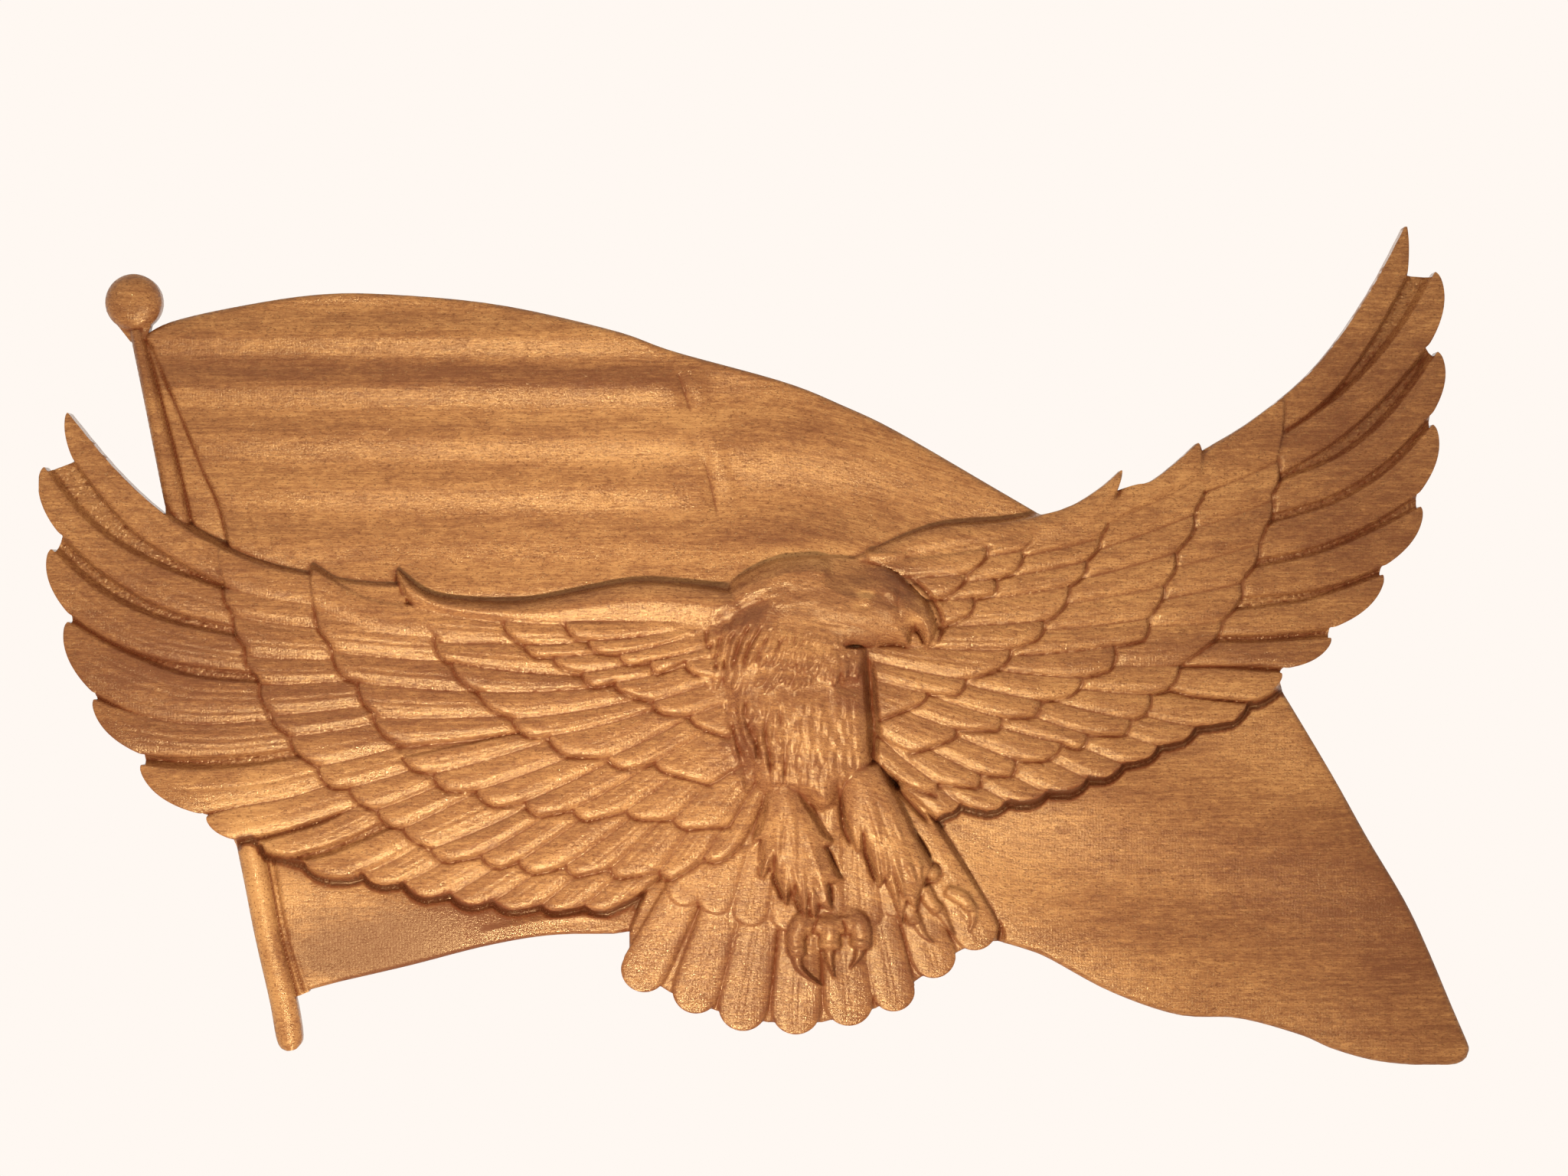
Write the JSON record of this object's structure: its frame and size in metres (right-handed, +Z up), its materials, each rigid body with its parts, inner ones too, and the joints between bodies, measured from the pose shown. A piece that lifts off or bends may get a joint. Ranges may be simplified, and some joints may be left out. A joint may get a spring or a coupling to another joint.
{
  "type": "eagle wall plaque",
  "caption": "Carved wooden wall relief of an eagle with spread wings over a waving flag on a pole with a ball top, flat at the back for hanging.",
  "frame": {"origin": "on the flat back, at the middle of the outline's width and height, where the plaque is held to the wall", "axes": "+Z up the wall, +X to the viewer's right, and the carved face towards -Y, with the flat back at Y = 0"},
  "size_m": [0.6091, 0.0305, 0.3571],
  "materials": {
    "wood": "carved mahogany-like wood with a satin clear coat"
  },
  "bodies": {
    "root": {"eagle_plaque": "wood"}
  },
  "joints": []
}
